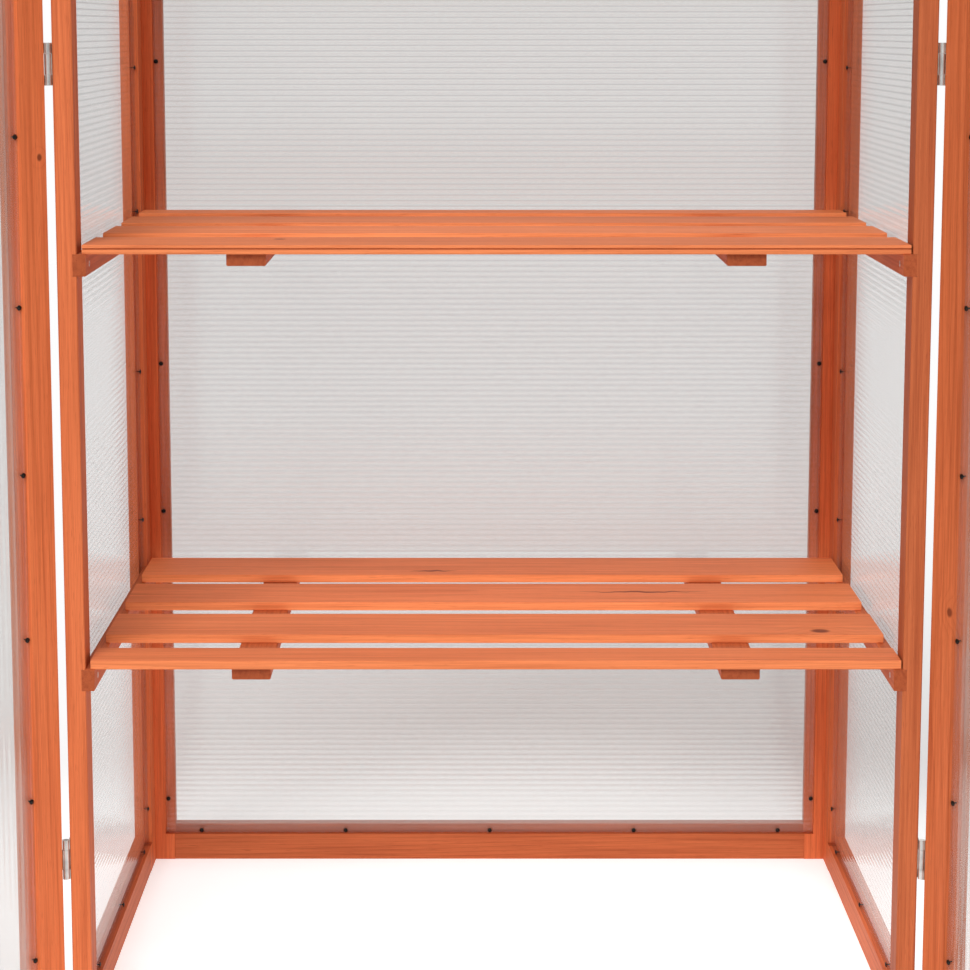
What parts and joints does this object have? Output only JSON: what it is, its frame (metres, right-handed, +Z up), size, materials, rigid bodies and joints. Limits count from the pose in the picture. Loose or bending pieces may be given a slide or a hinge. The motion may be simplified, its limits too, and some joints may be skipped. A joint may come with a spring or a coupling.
{
  "type": "mini greenhouse",
  "caption": "Upright wooden greenhouse cabinet with twin-wall sheet panels, overlay doors, a sloping hinged lid with a steel prop, and slatted shelves on ledgers.",
  "frame": {"origin": "middle of the underside of the front bottom rail, on the ground", "axes": "+Z up, the doors at the front face -Y, +X to the right as seen from the front"},
  "size_m": [1.2187, 0.7854, 1.09],
  "materials": {
    "fir_wood": "planed softwood with a reddish-brown stain, satin",
    "twin_wall_sheet": "translucent twin-wall sheet with fine parallel flutes",
    "hinge_steel": "zinc-plated pressed steel, dulled",
    "sheet_pin": "blackened steel",
    "bright_steel": "zinc-plated steel"
  },
  "bodies": {
    "cabinet": {"left_front_stile": "fir_wood", "left_rear_stile": "fir_wood", "left_top_rail": "fir_wood", "left_bottom_rail": "fir_wood", "left_sheet": "twin_wall_sheet", "right_front_stile": "fir_wood", "right_rear_stile": "fir_wood", "right_top_rail": "fir_wood", "right_bottom_rail": "fir_wood", "right_sheet": "twin_wall_sheet", "back_left_stile": "fir_wood", "back_right_stile": "fir_wood", "back_top_rail": "fir_wood", "back_bottom_rail": "fir_wood", "back_sheet": "twin_wall_sheet", "front_bottom_rail": "fir_wood", "front_top_rail": "fir_wood", "left_upper_ledger": "fir_wood", "left_lower_ledger": "fir_wood", "right_upper_ledger": "fir_wood", "right_lower_ledger": "fir_wood", "cabinet_sheet_pins": "sheet_pin", "prop_peg": "bright_steel", "hinge_frame_leaves": "hinge_steel", "hinge_pins": "hinge_steel"},
    "left_door": {"left_door_hinge_stile": "fir_wood", "left_door_meeting_stile": "fir_wood", "left_door_top_rail": "fir_wood", "left_door_bottom_rail": "fir_wood", "left_door_sheet": "twin_wall_sheet", "left_door_sheet_pins": "sheet_pin", "left_door_hinge_leaves": "hinge_steel", "turn_button_screw": "bright_steel"},
    "right_door": {"right_door_hinge_stile": "fir_wood", "right_door_meeting_stile": "fir_wood", "right_door_top_rail": "fir_wood", "right_door_bottom_rail": "fir_wood", "right_door_sheet": "twin_wall_sheet", "right_door_sheet_pins": "sheet_pin", "right_door_hinge_leaves": "hinge_steel"},
    "turn_button": {"turn_button": "fir_wood"},
    "lid": {"lid_left_rail": "fir_wood", "lid_right_rail": "fir_wood", "lid_front_rail": "fir_wood", "lid_rear_rail": "fir_wood", "lid_sheet": "twin_wall_sheet", "lid_sheet_pins": "sheet_pin", "lid_hinge_leaves": "hinge_steel", "prop_screw": "bright_steel"},
    "lid_prop": {"lid_prop": "bright_steel"},
    "upper_shelf": {"upper_shelf_slat_1": "fir_wood", "upper_shelf_slat_2": "fir_wood", "upper_shelf_slat_3": "fir_wood", "upper_shelf_slat_4": "fir_wood", "upper_shelf_battens": "fir_wood"},
    "lower_shelf": {"lower_shelf_slat_1": "fir_wood", "lower_shelf_slat_2": "fir_wood", "lower_shelf_slat_3": "fir_wood", "lower_shelf_slat_4": "fir_wood", "lower_shelf_battens": "fir_wood"}
  },
  "joints": [
    {"name": "left_door_hinge", "type": "hinge", "parent": "cabinet", "child": "left_door", "pos_m": [-0.3785, -0.01165, 0], "axis": [0, 0, -1], "range_deg": [-130, 50]},
    {"name": "right_door_hinge", "type": "hinge", "parent": "cabinet", "child": "right_door", "pos_m": [0.3785, -0.01165, 0], "axis": [0, 0, 1], "range_deg": [-120, 60]},
    {"name": "turn_button_pivot", "type": "hinge", "parent": "left_door", "child": "turn_button", "pos_m": [-0.62497, -0.2787, 0.5044], "axis": [-0.766, 0.6428, 0], "range_deg": [0, 90]},
    {"name": "lid_hinge", "type": "hinge", "parent": "cabinet", "child": "lid", "pos_m": [0, 0.4447, 1.07351], "axis": [-1, 0, 0], "range_deg": [0, 40]},
    {"name": "prop_pivot", "type": "hinge", "parent": "lid", "child": "lid_prop", "pos_m": [0.337, 0.1469, 1.03685], "axis": [-1, 0, 0], "range_deg": [0, 75]},
    {"name": "upper_shelf_lift", "type": "slide", "parent": "cabinet", "child": "upper_shelf", "axis": [0, 0, 1], "range_m": [0, 0.05]},
    {"name": "lower_shelf_lift", "type": "slide", "parent": "cabinet", "child": "lower_shelf", "axis": [0, 0, 1], "range_m": [0, 0.05]}
  ]
}
